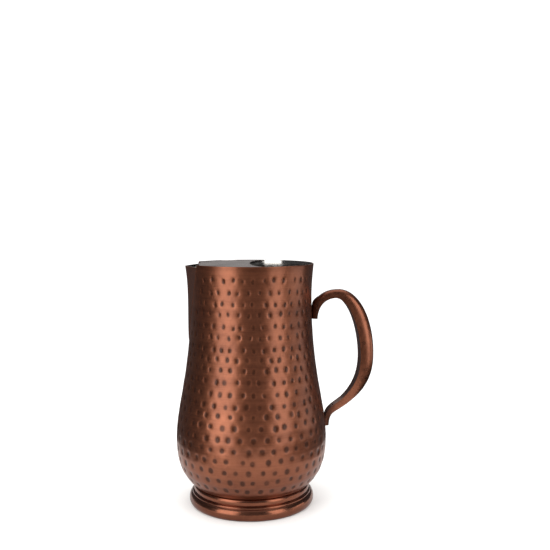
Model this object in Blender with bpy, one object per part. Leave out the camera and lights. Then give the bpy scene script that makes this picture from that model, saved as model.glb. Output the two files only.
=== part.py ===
"""Hammered copper water pitcher with an ice guard, in metres with +Z up.

The spun body stands on a spun foot ring. A folded spout panel fills a V notch in
the body wall, a flat ice guard lies in the mouth, and a hollow handle of two
pressings is brazed to the wall at both ends. The spout points to -X and the
handle to +X. The origin is at the middle of the whole object's footprint, so
the body's own axis stands at AXIS_X.

Pieces that are welded or brazed together keep JOINT_GAP between their solids.
"""

import math

import bmesh
import bpy
from mathutils import Vector

# Overall sizes
HEIGHT = 0.210  # table to rim
BELLY_RADIUS = 0.0658  # widest outside radius
NECK_RADIUS = 0.0527  # narrowest outside radius
RIM_RADIUS = 0.0545
SPOUT_REACH = 0.0571  # body axis to the spout's tip
HANDLE_REACH = 0.1081  # body axis to the back of the grip

# Sheet and joints
WALL = 0.0010  # body, spout and foot sheet
JOINT_GAP = 0.0003
EDGE_ROUND = 0.0003  # rounding of the rim

# Body
BODY_FLOOR_Z = 0.0175  # underside of the body's flat bottom
FLOOR_RADIUS = 0.0502
BELLY_Z = 0.057
NECK_BELOW_RIM = 0.027

# Spout
SPOUT_HALF_WIDTH = 0.0288  # of the V notch, at the rim
SPOUT_LENGTH = 0.068  # rim to the notch's point
LIP_BELOW_RIM = 0.0020
RIDGE_ROUNDING = 0.16  # of the fold, as a share of the panel's half width

# Ice guard
GUARD_THICKNESS = 0.0009
GUARD_BELOW_RIM = 0.0004
GUARD_CHORD_INSET = 0.0121  # rim to the corners of the spout-side edge
GUARD_CHORD_BOW = 0.0032
GUARD_CLEARANCE = 0.0001  # beyond the joint gap, for the wall's lean
GUARD_MOUTH_X = -0.0012  # middle of the crescent edge, from the body axis
GUARD_HORN_ANGLE = math.radians(105.5)  # horn tips, from the spout

# Foot ring
FOOT_BASE_RADIUS = 0.0525
FOOT_FLARE = 0.0022  # flare beyond the base edge
FOOT_THROAT_INSET = 0.0034  # base edge in to the throat under the body
FOOT_FLANGE = 0.0034  # width of the turned-in rest and weld flanges

# Handle
UPPER_TAB_BELOW_RIM = 0.0488
ARCH_BELOW_RIM = 0.0233
ARCH_RUN = 0.0215  # wall to the top of the arch
GRIP_Z = 0.128
ELBOW_RUN = 0.0170  # wall to the elbow above the lower tab
ELBOW_Z = 0.0875
LOWER_TAB_Z = 0.0664
UPPER_TAB_DEPTH = 0.0052
ARCH_DEPTH = 0.0074
GRIP_DEPTH = 0.0124
ELBOW_DEPTH = 0.0074
LOWER_TAB_DEPTH = 0.0038
SHOULDER_SWELL = 1.08  # of the grip's sizes, above the grip
TAB_WIDTH = 0.0120
ARCH_WIDTH = 0.0108
GRIP_WIDTH = 0.0156
TAB_SINK = 0.0007  # how far a tab is run into the wall before it is trimmed
HANDLE_WALL = 0.0011

# Facets
BODY_STEPS = 60
CURVE_STEPS = 7  # of each curved stretch of a profile
HANDLE_STEPS = 9  # of each stretch of the handle
CROWN_STEPS = 8

AXIS_X = (max(SPOUT_REACH, BELLY_RADIUS) - HANDLE_REACH) / 2
NECK_Z = HEIGHT - NECK_BELOW_RIM
LIP_Z = HEIGHT - LIP_BELOW_RIM
SPOUT_POINT_Z = HEIGHT - SPOUT_LENGTH
GUARD_TOP_Z = HEIGHT - GUARD_BELOW_RIM


def clear_scene():
    for obj in list(bpy.data.objects):
        bpy.data.objects.remove(obj, do_unlink=True)


def bezier(points, t):
    """The point at t of the cubic curve with these four control values."""
    a, b, c, d = (Vector(p) for p in points)
    s = 1 - t
    return a * s**3 + b * (3 * s * s * t) + c * (3 * s * t * t) + d * t**3


def sweep_samples(segments, steps):
    """Points along joined cubic segments, each joint once."""
    points = [bezier(segments[0], 0)]
    for segment in segments:
        points += [bezier(segment, i / steps) for i in range(1, steps + 1)]
    return points


def body_segments():
    """The outside of the body from its bottom edge to the rim, as (radius, z)."""
    floor = (FLOOR_RADIUS, BODY_FLOOR_Z)
    belly = (BELLY_RADIUS, BELLY_Z)
    neck = (NECK_RADIUS, NECK_Z)
    rim = (RIM_RADIUS, HEIGHT)
    turn = BELLY_RADIUS - FLOOR_RADIUS
    rise = BELLY_Z - BODY_FLOOR_Z
    waist = NECK_Z - BELLY_Z
    collar = HEIGHT - NECK_Z
    return [
        [
            floor,
            (FLOOR_RADIUS + 0.6 * turn, BODY_FLOOR_Z + 0.19 * rise),
            (BELLY_RADIUS, BELLY_Z - 0.57 * rise),
            belly,
        ],
        [
            belly,
            (BELLY_RADIUS, BELLY_Z + 0.25 * waist),
            (NECK_RADIUS, NECK_Z - 0.555 * waist),
            neck,
        ],
        [
            neck,
            (NECK_RADIUS, NECK_Z + 0.37 * collar),
            (RIM_RADIUS - 0.0005, HEIGHT - 0.22 * collar),
            rim,
        ],
    ]


def wall_radius(z):
    """Outside radius of the body at height z."""
    for segment in body_segments():
        if z <= segment[3][1]:
            low, high = 0.0, 1.0
            for _ in range(40):
                middle = (low + high) / 2
                if bezier(segment, middle).y < z:
                    low = middle
                else:
                    high = middle
            return bezier(segment, low).x
    return RIM_RADIUS


def offset_line(line, distance):
    """The line moved to its left by distance, seen with x to the right and y up."""
    moved = []
    for i, point in enumerate(line):
        before, after = line[max(i - 1, 0)], line[min(i + 1, len(line) - 1)]
        along = (after - before).normalized()
        moved.append(point + Vector((-along.y, along.x)) * distance)
    return moved


def add_mesh(name, verts, faces, smooth=True):
    mesh = bpy.data.meshes.new(name)
    mesh.from_pydata(verts, [], faces)
    shell = bmesh.new()
    shell.from_mesh(mesh)
    bmesh.ops.remove_doubles(shell, verts=shell.verts, dist=1e-7)
    bmesh.ops.recalc_face_normals(shell, faces=shell.faces)
    shell.to_mesh(mesh)
    shell.free()
    obj = bpy.data.objects.new(name, mesh)
    bpy.context.scene.collection.objects.link(obj)
    if smooth:
        mesh.shade_smooth()
        mesh.set_sharp_from_angle(angle=math.radians(35))
    return obj


def lathe(name, outline):
    """A solid turned about the body axis from a closed (radius, z) outline."""
    verts, rings, faces = [], [], []
    for radius, z in outline:
        if radius < 1e-6:
            rings.append([len(verts)] * BODY_STEPS)
            verts.append((0, 0, z))
            continue
        rings.append(list(range(len(verts), len(verts) + BODY_STEPS)))
        for step in range(BODY_STEPS):
            turn = 2 * math.pi * step / BODY_STEPS
            verts.append((radius * math.cos(turn), radius * math.sin(turn), z))
    for lower, upper in zip(rings, rings[1:] + rings[:1]):
        for i in range(BODY_STEPS):
            j = (i + 1) % BODY_STEPS
            corners = dict.fromkeys((lower[i], lower[j], upper[j], upper[i]))
            if len(corners) > 2:
                faces.append(tuple(corners))
    return place(add_mesh(name, verts, faces))


def place(obj):
    """Stands a piece that is modelled about its own axis on the body axis."""
    obj.location.x = AXIS_X
    return obj


def cut(obj, cutter):
    modifier = obj.modifiers.new(f"cut_{cutter.name}", "BOOLEAN")
    modifier.operation = "DIFFERENCE"
    modifier.object = cutter
    cutter.hide_render = True
    cutter.display_type = "WIRE"


def finish(obj, name, colour, roughness, metallic=1.0):
    material = bpy.data.materials.new(name)
    material.use_nodes = True
    shader = material.node_tree.nodes["Principled BSDF"]
    shader.inputs["Base Color"].default_value = (*colour, 1)
    shader.inputs["Roughness"].default_value = roughness
    shader.inputs["Metallic"].default_value = metallic
    obj.data.materials.append(material)


def notch_half_width(z):
    """Half width of the spout notch at height z."""
    return SPOUT_HALF_WIDTH * (z - SPOUT_POINT_Z) / SPOUT_LENGTH


def make_notch_cutter():
    """A wedge that opens the wall on the spout side, taller than the rim."""
    top = HEIGHT + 0.01
    outer, inner = -2 * SPOUT_REACH, -NECK_RADIUS / 2
    profile = [
        (0, SPOUT_POINT_Z),
        (notch_half_width(top), top),
        (-notch_half_width(top), top),
    ]
    verts = [(x, y, z) for x in (outer, inner) for y, z in profile]
    faces = [(0, 1, 2), (5, 4, 3), (0, 3, 4, 1), (1, 4, 5, 2), (2, 5, 3, 0)]
    return place(add_mesh("notch_cutter", verts, faces, smooth=False))


def make_body():
    """The spun body with its flat bottom, open at the mouth."""
    outside = sweep_samples(body_segments(), CURVE_STEPS)
    inside = offset_line(outside, WALL)
    inside[0] = Vector((FLOOR_RADIUS - 2 * WALL, BODY_FLOOR_Z + WALL))
    inside[-1].y = HEIGHT
    inside = [p for p in inside if p.y >= BODY_FLOOR_Z + WALL]
    outside[-1:] = [
        Vector((RIM_RADIUS, HEIGHT - EDGE_ROUND)),
        Vector((RIM_RADIUS - EDGE_ROUND, HEIGHT)),
    ]
    inside[-1:] = [
        Vector((inside[-1].x, HEIGHT - EDGE_ROUND)),
        Vector((inside[-1].x + EDGE_ROUND, HEIGHT)),
    ]
    outline = [(0, BODY_FLOOR_Z), *outside, *reversed(inside), (0, BODY_FLOOR_Z + WALL)]
    body = lathe("body", outline)
    cut(body, make_notch_cutter())
    finish(body, "hammered_copper", (0.42, 0.17, 0.09), 0.38)
    return body


def ridge_radius(z):
    """Distance of the spout's fold from the body axis at height z."""
    low = wall_radius(SPOUT_POINT_Z)
    neck = wall_radius(NECK_Z)
    t = (z - SPOUT_POINT_Z) / (LIP_Z - SPOUT_POINT_Z)
    return bezier([(low, 0), (low + 0.0012, 0), (neck + 0.0008, 0), (SPOUT_REACH, 0)], t).x


def make_spout():
    """The folded V panel that closes the notch and throws the lip forward."""
    rows, columns = 2 * CURVE_STEPS, 12
    first_z = SPOUT_POINT_Z + 0.0035
    skew = math.hypot(SPOUT_LENGTH, SPOUT_HALF_WIDTH) / SPOUT_LENGTH
    round_end = math.hypot(1, RIDGE_ROUNDING) - RIDGE_ROUNDING
    layers = []
    for depth in (0, WALL):
        grid = []
        for row in range(rows + 1):
            z = first_z + (LIP_Z - first_z) * row / rows
            half = notch_half_width(z) - JOINT_GAP * skew
            edge_radius = wall_radius(z) - depth
            edge_x = math.sqrt(edge_radius**2 - half**2)
            ridge_x = ridge_radius(z) - depth
            for column in range(columns + 1):
                share = 2 * column / columns - 1
                away = (math.hypot(share, RIDGE_ROUNDING) - RIDGE_ROUNDING) / round_end
                grid.append((-(ridge_x + (edge_x - ridge_x) * away), half * share, z))
        layers.append(grid)
    wide = columns + 1
    count = len(layers[0])
    faces = []
    for row in range(rows):
        for column in range(columns):
            a = row * wide + column
            faces.append((a, a + 1, a + wide + 1, a + wide))
            faces.append(tuple(count + i for i in (a + wide, a + wide + 1, a + 1, a)))
    border = (
        list(range(wide))
        + [row * wide + columns for row in range(1, rows + 1)]
        + [rows * wide + column for column in range(columns - 1, -1, -1)]
        + [row * wide for row in range(rows - 1, 0, -1)]
    )
    for a, b in zip(border, border[1:] + border[:1]):
        faces.append((b, a, a + count, b + count))
    spout = place(add_mesh("spout", layers[0] + layers[1], faces))
    finish(spout, "smooth_copper", (0.40, 0.16, 0.085), 0.3)
    return spout


def arc(centre, radius, start, end, steps):
    """Points on a circle in plan, from one angle to another."""
    turns = (start + (end - start) * i / steps for i in range(steps + 1))
    return [
        (centre[0] + radius * math.cos(a), centre[1] + radius * math.sin(a)) for a in turns
    ]


def arc_through(middle_x, end_x, end_y, steps):
    """An arc that is symmetric in Y through (middle_x, 0) and (end_x, +-end_y)."""
    run = end_x - middle_x
    radius = (run**2 + end_y**2) / (2 * run)
    centre = middle_x + radius
    sweep = math.asin(end_y / abs(radius))
    facing = math.pi if radius > 0 else 0
    return arc((centre, 0), abs(radius), facing + sweep, facing - sweep, steps)


def make_ice_guard():
    """The flat crescent plate in the spout half of the mouth."""
    radius = RIM_RADIUS - WALL - GUARD_CLEARANCE - JOINT_GAP
    chord_run = RIM_RADIUS - GUARD_CHORD_INSET
    corner = math.acos(chord_run / radius)
    side = arc((0, 0), radius, math.pi - corner, math.pi - GUARD_HORN_ANGLE, 24)
    horn_x, horn_y = side[-1]
    pull = (4 * GUARD_MOUTH_X - horn_x) / 3
    hollow = [(horn_x, horn_y), (pull, horn_y), (pull, -horn_y), (horn_x, -horn_y)]
    crescent = [tuple(p) for p in sweep_samples([hollow], 28)]
    other = [(x, -y) for x, y in reversed(side)]
    chord = arc_through(
        -chord_run - GUARD_CHORD_BOW, side[0][0], radius * math.sin(corner), 6
    )
    if chord[0][1] > 0:
        chord.reverse()
    outline = side + crescent[1:-1] + other + chord[1:-1]
    verts, count = [], len(outline)
    for z in (GUARD_TOP_Z - GUARD_THICKNESS, GUARD_TOP_Z):
        verts += [(x, y, z) for x, y in outline]
    faces = [tuple(range(count)), tuple(range(2 * count - 1, count - 1, -1))]
    faces += [(i, (i + 1) % count, (i + 1) % count + count, i + count) for i in range(count)]
    guard = place(add_mesh("ice_guard", verts, faces))
    finish(guard, "brushed_steel", (0.55, 0.53, 0.51), 0.35)
    return guard


def make_foot_ring():
    """The spun foot: weld flange, roll, groove, step, flared band and rest flange."""
    top = BODY_FLOOR_Z - JOINT_GAP
    base = FOOT_BASE_RADIUS
    flare = base + FOOT_FLARE
    throat = base - FOOT_THROAT_INSET
    outside = [Vector((throat - FOOT_FLANGE, top)), Vector((throat, top))]
    outside += sweep_samples(
        [
            [(throat, top), (throat + 0.0021, top - 0.0003), (throat + 0.0021, top - 0.0040),
             (throat + 0.0013, top - 0.0054)],
            [(throat + 0.0013, top - 0.0054), (throat + 0.0029, top - 0.0058),
             (throat + 0.0030, top - 0.0066), (throat + 0.0029, top - 0.0072)],
            [(throat + 0.0029, top - 0.0072), (flare - 0.0005, top - 0.0086),
             (flare, 0.0060), (flare, 0.0040)],
            [(flare, 0.0040), (flare, 0.0018), (base + 0.0007, 0), (base - 0.0004, 0)],
        ],
        CURVE_STEPS // 2,
    )[1:]
    outside.append(Vector((base - FOOT_FLANGE, 0)))
    inner_wall = throat - WALL
    inside = [
        (base - FOOT_FLANGE, WALL),
        (base - 0.0012, WALL),
        (flare - WALL, 0.0040),
        (inner_wall + 0.0022, top - 0.0076),
        (inner_wall, top - 0.0056),
        (inner_wall, top - WALL),
        (throat - FOOT_FLANGE, top - WALL),
    ]
    foot = lathe("foot_ring", [tuple(p) for p in outside] + inside)
    finish(foot, "polished_copper", (0.36, 0.15, 0.085), 0.22)
    return foot


def handle_segments():
    """The handle's centreline as (x, z), from the upper tab to the lower one."""
    upper_z = HEIGHT - UPPER_TAB_BELOW_RIM
    arch_z = HEIGHT - ARCH_BELOW_RIM - ARCH_DEPTH / 2
    upper_x = wall_radius(upper_z) + UPPER_TAB_DEPTH / 2 - TAB_SINK
    arch_x = wall_radius(upper_z) + ARCH_RUN
    grip_x = HANDLE_REACH - GRIP_DEPTH / 2
    elbow_x = wall_radius(LOWER_TAB_Z) + ELBOW_RUN
    lower_x = wall_radius(LOWER_TAB_Z) + LOWER_TAB_DEPTH / 2 - TAB_SINK
    top_reach = grip_x - arch_x
    drop = arch_z - GRIP_Z
    fall = GRIP_Z - ELBOW_Z
    return [
        [(upper_x, upper_z), (upper_x, upper_z + 0.016), (arch_x - 0.009, arch_z),
         (arch_x, arch_z)],
        [(arch_x, arch_z), (arch_x + 0.61 * top_reach, arch_z),
         (grip_x, GRIP_Z + 0.49 * drop), (grip_x, GRIP_Z)],
        [(grip_x, GRIP_Z), (grip_x, GRIP_Z - 0.54 * fall), (elbow_x + 0.0091, ELBOW_Z + 0.0078),
         (elbow_x, ELBOW_Z)],
        [(elbow_x, ELBOW_Z), (elbow_x - 0.0115, ELBOW_Z - 0.0085),
         (lower_x, LOWER_TAB_Z + 0.013), (lower_x, LOWER_TAB_Z)],
    ]


def handle_sizes(values):
    """A size along the handle that passes smoothly through its five named values."""
    upper, arch, grip, elbow, lower = values
    shoulder = grip * SHOULDER_SWELL
    return [
        [(upper, 0), ((upper + 3 * arch) / 4, 0), ((upper + 5 * arch) / 6, 0), (arch, 0)],
        [(arch, 0), ((arch + 8 * shoulder) / 9, 0), (shoulder, 0), (grip, 0)],
        [(grip, 0), (grip, 0), ((grip + 3 * elbow) / 4, 0), (elbow, 0)],
        [(elbow, 0), ((4 * elbow + lower) / 5, 0), ((elbow + lower) / 2, 0), (lower, 0)],
    ]


def handle_stations():
    """(centre, outward normal, depth, width) at each step of the handle."""
    depths = (UPPER_TAB_DEPTH, ARCH_DEPTH, GRIP_DEPTH, ELBOW_DEPTH, LOWER_TAB_DEPTH)
    widths = (TAB_WIDTH, ARCH_WIDTH, GRIP_WIDTH, ARCH_WIDTH, TAB_WIDTH)
    line = sweep_samples(handle_segments(), HANDLE_STEPS)
    deep = sweep_samples(handle_sizes(depths), HANDLE_STEPS)
    wide = sweep_samples(handle_sizes(widths), HANDLE_STEPS)
    stations = []
    for i, point in enumerate(line):
        before, after = line[max(i - 1, 0)], line[min(i + 1, len(line) - 1)]
        along = (after - before).normalized()
        if i in (0, 2 * HANDLE_STEPS, len(line) - 1):
            along = Vector((0, math.copysign(1, along.y)))
        stations.append((point, Vector((-along.y, along.x)), deep[i].x, wide[i].x))
    return stations


def sweep_solid(name, stations, section):
    """A solid through the section at each station; section gives (across, out) points."""
    verts, faces = [], []
    for centre, normal, depth, width in stations:
        ring = section(depth, width)
        for across, out in ring:
            spot = centre + normal * out
            verts.append((spot.x, across, spot.y))
    count = len(ring)
    for station in range(len(stations) - 1):
        for i in range(count):
            j = (i + 1) % count
            a, b = station * count, (station + 1) * count
            faces.append((a + i, a + j, b + j, b + i))
    last = (len(stations) - 1) * count
    faces += [tuple(range(count - 1, -1, -1)), tuple(last + i for i in range(count))]
    return place(add_mesh(name, verts, faces))


def crown(depth, width, inset=0.0):
    """The outer pressing's D outline: flat inner side, rounded flanks and crown."""
    half, low, high = width / 2 - inset, -depth / 2, depth / 2 - inset
    points = []
    for step in range(CROWN_STEPS + 1):
        turn = math.pi * step / CROWN_STEPS
        across = math.copysign(abs(math.cos(turn)) ** 0.75, math.cos(turn))
        points.append((half * across, low + (high - low) * math.sin(turn) ** 0.6))
    return points


def hollow_section(depth, width):
    """The handle's hollow, run out through its open inner side."""
    arch = crown(depth, width, HANDLE_WALL)
    return [(arch[0][0], -depth / 2 - 0.001), *arch[1:-1], (arch[-1][0], -depth / 2 - 0.001)]


def strip_section(depth, width):
    """The flat strip that closes the hollow, flush with the flanks' edges."""
    half = width / 2 - HANDLE_WALL - JOINT_GAP
    low = -depth / 2
    return [(half, low), (half, low + HANDLE_WALL), (-half, low + HANDLE_WALL), (-half, low)]


def make_wall_trimmer():
    """The body's outside grown by the joint gap, which trims the handle's tabs."""
    outside = sweep_samples(body_segments(), CURVE_STEPS)
    grown = [(p.x + JOINT_GAP, p.y) for p in outside]
    return lathe("wall_trimmer", [(0, BODY_FLOOR_Z), *grown, (0, HEIGHT)])


def make_handle():
    """The pressed outer shell and the flat strip inside it."""
    stations = handle_stations()
    hollow = stations[HANDLE_STEPS // 2 + 1 : -(HANDLE_STEPS // 2 + 3)]
    shell = sweep_solid("handle_shell", stations, crown)
    cut(shell, make_wall_trimmer())
    cut(shell, sweep_solid("handle_hollow", hollow, hollow_section))
    strip = sweep_solid("handle_strip", hollow[1:-1], strip_section)
    finish(shell, "handle_copper", (0.33, 0.13, 0.07), 0.3)
    finish(strip, "strip_copper", (0.25, 0.10, 0.055), 0.35)
    return shell, strip


def main():
    clear_scene()
    make_body()
    make_spout()
    make_ice_guard()
    make_foot_ring()
    make_handle()


main()
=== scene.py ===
"""Hammered copper water pitcher with an ice guard: the finished pieces and their stage.

Every piece is raised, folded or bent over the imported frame, in metres with +Z up.
The spout points to -X and the handle to +X.
"""

import math
import random

import bmesh
import bpy
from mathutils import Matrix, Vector


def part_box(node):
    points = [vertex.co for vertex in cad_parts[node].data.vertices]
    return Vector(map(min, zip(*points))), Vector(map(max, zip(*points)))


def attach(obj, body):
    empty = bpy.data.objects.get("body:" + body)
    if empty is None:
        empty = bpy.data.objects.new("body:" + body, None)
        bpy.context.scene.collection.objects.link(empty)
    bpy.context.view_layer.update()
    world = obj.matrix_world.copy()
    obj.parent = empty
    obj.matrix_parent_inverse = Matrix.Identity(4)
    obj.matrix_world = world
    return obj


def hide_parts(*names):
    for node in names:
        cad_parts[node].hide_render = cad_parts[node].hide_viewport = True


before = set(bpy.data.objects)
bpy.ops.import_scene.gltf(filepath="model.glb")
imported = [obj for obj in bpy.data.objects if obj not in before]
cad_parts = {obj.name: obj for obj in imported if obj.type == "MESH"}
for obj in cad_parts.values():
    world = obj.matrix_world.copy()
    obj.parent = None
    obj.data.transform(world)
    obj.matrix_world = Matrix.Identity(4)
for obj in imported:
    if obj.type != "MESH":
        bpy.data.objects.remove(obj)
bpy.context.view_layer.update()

bl_info = {
    "name": "Hammered Copper Pitcher",
    "version": (1, 0, 0),
    "blender": (4, 5, 0),
    "location": "View3D > Sidebar > Pitcher",
    "description": "Raises a hammered copper pitcher with its spout, guard, foot and handle",
    "category": "Add Mesh",
}

BODY_LOW, BODY_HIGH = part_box("body")
SPOUT_LOW, SPOUT_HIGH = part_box("spout")
GUARD_LOW, GUARD_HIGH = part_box("ice_guard")

AXIS_X = (BODY_LOW.x + BODY_HIGH.x) / 2
HEIGHT = BODY_HIGH.z
FLOOR_Z = BODY_LOW.z
LIP_Z = SPOUT_HIGH.z
SPOUT_REACH = AXIS_X - SPOUT_LOW.x
FOOT_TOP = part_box("foot_ring")[1].z
HANDLE_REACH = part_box("handle_shell")[1].x - AXIS_X
SPOUT_SIDE = AXIS_X - 0.02  # what lies beyond this is on the spout's side
SAME = 1e-6  # places closer than this are one place


def length(name, description, default, low=0.0):
    """A size in metres that a user may change."""
    return bpy.props.FloatProperty(
        name=name,
        description=description,
        default=default,
        min=low,
        precision=5,
        subtype="DISTANCE",
        unit="LENGTH",
    )


def angle(name, description, default):
    """An angle in radians that a user may change."""
    return bpy.props.FloatProperty(
        name=name, description=description, default=default, subtype="ANGLE", unit="ROTATION"
    )


def colour(name, description, default):
    """A colour that a user may change."""
    return bpy.props.FloatVectorProperty(
        name=name, description=description, default=default, size=3, min=0, max=1, subtype="COLOR"
    )


class PitcherBodySizes(bpy.types.PropertyGroup):
    """Sizes of the spun body and its hammer marks."""

    belly_radius: length("Belly Radius", "Widest outside radius", (BODY_HIGH.y - BODY_LOW.y) / 2)
    neck_radius: length("Neck Radius", "Narrowest outside radius", 0.0527)
    rim_radius: length("Rim Radius", "Outside radius at the rim", 0.0545)
    floor_radius: length("Floor Radius", "Radius of the flat bottom", 0.0502)
    belly_height: length("Belly Height", "Table to the widest place", 0.057)
    neck_drop: length("Neck Drop", "Rim down to the narrowest place", 0.027)
    wall: length("Wall", "Thickness of the sheet", 0.0010)
    rim_round: length("Rim Round", "Rounding of the rim's edges", 0.00025)
    mark_rows: bpy.props.IntProperty(
        name="Mark Rows", description="Rows of hammer marks", default=20, min=1
    )
    marks_per_row: bpy.props.IntProperty(
        name="Marks per Row", description="Hammer marks round the body", default=38, min=8
    )
    lowest_marks: length("Lowest Marks", "Height of the band's lower edge", 0.0232)
    highest_marks: length("Highest Marks", "Height of the band's upper edge", 0.2022)
    mark_width_low: length("Mark Width Low", "Width of a mark at the belly", 0.0072)
    mark_width_high: length("Mark Width High", "Width of a mark under the rim", 0.0047)
    mark_depth: length("Mark Depth", "Depth of a middling blow", 0.00036)
    mark_floor: bpy.props.FloatProperty(
        name="Mark Floor", description="Share of a mark's width that is its floor", default=0.56
    )
    mark_stray: length("Mark Stray", "How far a blow lands from its place", 0.0011)


class PitcherSpoutSizes(bpy.types.PropertyGroup):
    """Sizes of the folded spout panel."""

    half_width: length("Half Width", "Half of the notch's width at the rim", 0.0288)
    drop: length("Drop", "Rim down to the notch's point", 0.068)
    fold_round: bpy.props.FloatProperty(
        name="Fold Rounding", description="Share of the half width", default=0.13, min=0.01
    )
    seam: length("Seam", "Radius of the brazed seam", 0.00032)


class PitcherGuardSizes(bpy.types.PropertyGroup):
    """Sizes of the flat ice guard."""

    clearance: length("Clearance", "Gap to the wall", 0.0001)
    corner: length("Corner", "Rim in to the corners of the pouring edge", 0.0121)
    bow: length("Bow", "Bulge of the pouring edge", 0.0032)
    opening: length("Opening", "Body axis to the crescent, toward the handle", -0.0012, -0.05)
    horn_angle: angle("Horn Angle", "From the spout round to the horn tips", math.radians(105.5))
    edge_round: length("Edge Round", "Rounding of the plate's edges", 0.00018)


class PitcherFootSizes(bpy.types.PropertyGroup):
    """Sizes of the spun foot ring."""

    base_radius: length("Base Radius", "Radius where it meets the table", 0.0525)
    flare: length("Flare", "Flare beyond the base edge", 0.0022)
    throat_step: length("Throat Step", "Base edge in to the throat", 0.0034)
    flange: length("Flange", "Width of the turned-in flanges", 0.0034)
    wall: length("Wall", "Thickness of the sheet", 0.0010)


class PitcherHandleSizes(bpy.types.PropertyGroup):
    """Sizes of the handle and the strip on its finger side."""

    upper_drop: length("Upper Tab Drop", "Rim down to the upper tab's end", 0.0488)
    arch_drop: length("Arch Drop", "Rim down to the top of the arch", 0.0233)
    arch_run: length("Arch Run", "Wall to the top of the arch", 0.0215)
    grip_height: length("Grip Height", "Table to the back of the grip", 0.128)
    elbow_run: length("Elbow Run", "Wall to the elbow", 0.0170)
    elbow_height: length("Elbow Height", "Table to the elbow", 0.0875)
    lower_height: length("Lower Tab Height", "Table to the lower tab's end", 0.0664)
    tab_depth: length("Tab Depth", "Thickness of the upper tab", 0.0052)
    arch_depth: length("Arch Depth", "Thickness at the arch and elbow", 0.0074)
    grip_depth: length("Grip Depth", "Thickness of the grip", 0.0124)
    foot_depth: length("Foot Depth", "Thickness of the lower tab", 0.0038)
    tab_width: length("Tab Width", "Width of the tabs", 0.0120)
    arch_width: length("Arch Width", "Width at the arch and elbow", 0.0108)
    grip_width: length("Grip Width", "Width of the grip", 0.0156)
    web: length("Web", "Thickening where the arch leaves the wall", 0.0013)
    tab_sink: length("Tab Sink", "How far the tabs enter the wall", 0.0007)
    edge: length("Edge", "Width of the rim beside the strip", 0.0011)
    strip_gap: length("Strip Gap", "Hairline beside the strip", 0.00016)
    strip_sink: length("Strip Sink", "How far the strip lies below the edges", 0.0002)


class PitcherColours(bpy.types.PropertyGroup):
    """Colours of the copper and the steel."""

    copper: colour("Copper", "Rubbed copper plate", (0.35, 0.120, 0.060))
    brown: colour("Brown", "Darkened copper plate", (0.16, 0.049, 0.024))
    # This colour is the real patina in the hammer marks, and also painted shade on the handle's
    # tabs near the wall.
    patina: colour("Patina", "Deposit in the hammer marks", (0.072, 0.023, 0.011))
    steel: colour("Steel", "Bare stainless steel", (0.62, 0.61, 0.59))
    grime: colour("Grime", "Dull steel", (0.30, 0.29, 0.27))
    guard: colour("Guard", "Steel of the ice guard", (0.25, 0.21, 0.20))
    guard_grime: colour("Guard Grime", "Dull steel of the ice guard", (0.15, 0.126, 0.12))
    floor: colour("Floor", "Studio floor", (0.93, 0.93, 0.92))
    mirrored: colour("Mirrored Floor", "Floor as the copper mirrors it", (0.62, 0.61, 0.60))


# --- Hand tools ---


def only(obj):
    """Makes obj the one selected and active object."""
    if bpy.context.mode != "OBJECT":
        bpy.ops.object.mode_set(mode="OBJECT")
    bpy.ops.object.select_all(action="DESELECT")
    obj.select_set(True)
    bpy.context.view_layer.objects.active = obj


def edit(obj, pick="VERT"):
    """Opens obj in edit mode with nothing selected."""
    only(obj)
    bpy.ops.object.mode_set(mode="EDIT")
    bpy.ops.mesh.select_mode(type=pick)
    bpy.ops.mesh.select_all(action="DESELECT")


def select(obj, kind, test):
    """Selects the vertices, edges or faces of obj that pass the test."""
    mesh = bmesh.from_edit_mesh(obj.data)
    for item in getattr(mesh, kind):
        item.select_set(bool(test(item)))
    mesh.select_flush_mode()
    bmesh.update_edit_mesh(obj.data)


def face_out():
    """Gives the mesh in edit mode one outside."""
    bpy.ops.mesh.select_all(action="SELECT")
    bpy.ops.mesh.normals_make_consistent(inside=False)


def done():
    """Closes edit mode."""
    bpy.ops.object.mode_set(mode="OBJECT")


def apply(obj, kind, **settings):
    """Adds a modifier with these settings and applies it."""
    only(obj)
    modifier = obj.modifiers.new(kind.title(), kind)
    for name, value in settings.items():
        setattr(modifier, name, value)
    bpy.ops.object.modifier_apply(modifier=modifier.name)


def give_wall(obj, thickness):
    """Thickens a sheet inward; the inside takes the second material."""
    apply(
        obj,
        "SOLIDIFY",
        thickness=thickness,
        offset=-1,
        use_even_offset=True,
        material_offset=1,
        material_offset_rim=0,
    )


def round_edges(obj, width, sharp):
    """Rounds every edge that turns by more than sharp degrees."""
    turn = math.radians(sharp)
    apply(obj, "BEVEL", width=width, segments=2, limit_method="ANGLE", angle_limit=turn)


def runs_round(one, other):
    """Whether the edge between two vertices runs round the body's axis."""
    return abs(from_axis(one.co) - from_axis(other.co)) < 1e-4


def runs_across(one, other):
    """Whether the edge between two vertices crosses the spout."""
    return abs(one.co.y - other.co.y) > 0.0006


def round_top(obj, z, slack, radius, test):
    """Levels a sheet's upper edge at z and rounds the edges there that pass the test."""
    edit(obj, "EDGE")
    mesh = bmesh.from_edit_mesh(obj.data)
    for vert in mesh.verts:
        if vert.co.z > z - slack:
            vert.co.z = z
    bmesh.update_edit_mesh(obj.data)
    select(obj, "edges", lambda e: all(v.co.z > z - SAME for v in e.verts) and test(*e.verts))
    bpy.ops.mesh.bevel(offset=radius, segments=2, affect="EDGES")
    done()


def middle(item):
    """The middle of an edge or face."""
    return sum((v.co for v in item.verts), Vector()) / len(item.verts)


def from_axis(place):
    """Distance of a place from the body's axis."""
    return math.hypot(place.x - AXIS_X, place.y)


def bearing(place):
    """Angle of a place round the body's axis."""
    return math.atan2(place.y, place.x - AXIS_X)


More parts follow.
